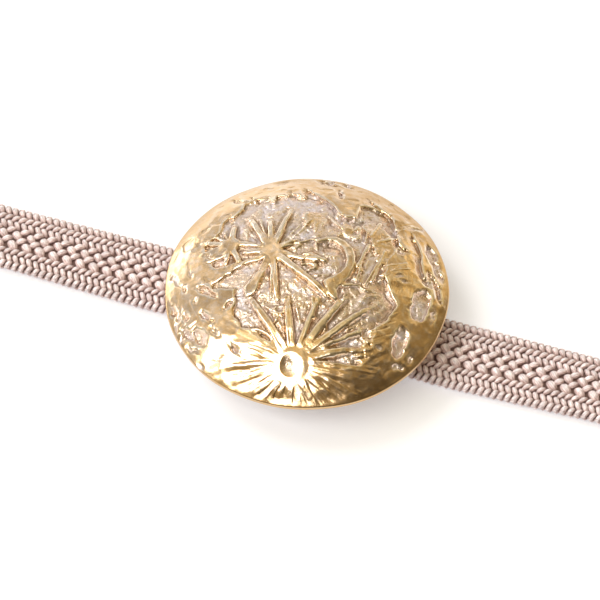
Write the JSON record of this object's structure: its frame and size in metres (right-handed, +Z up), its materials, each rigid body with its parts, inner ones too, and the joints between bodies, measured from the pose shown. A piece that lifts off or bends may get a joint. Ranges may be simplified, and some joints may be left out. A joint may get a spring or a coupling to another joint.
{
  "type": "obidome on a flat braided cord",
  "caption": "Round domed sash ornament cast hollow with a moon's craters and rays, on a plain back plate with loops that hold a flat braided cord.",
  "frame": {"origin": "on the surface it lies on, straight below the middle of the medallion", "axes": "+Z up out of the domed face, +X along the flat cord to its right-hand end, +Y across the cord"},
  "size_m": [0.091, 0.036, 0.0131],
  "materials": {
    "cast_gold": "polished high parts, frosted pale recesses",
    "back_metal": "satin",
    "braid": "silky plaited strands"
  },
  "bodies": {
    "root": {"medallion": "cast_gold", "back_fitting": "back_metal", "flat_cord": "braid"}
  },
  "joints": []
}
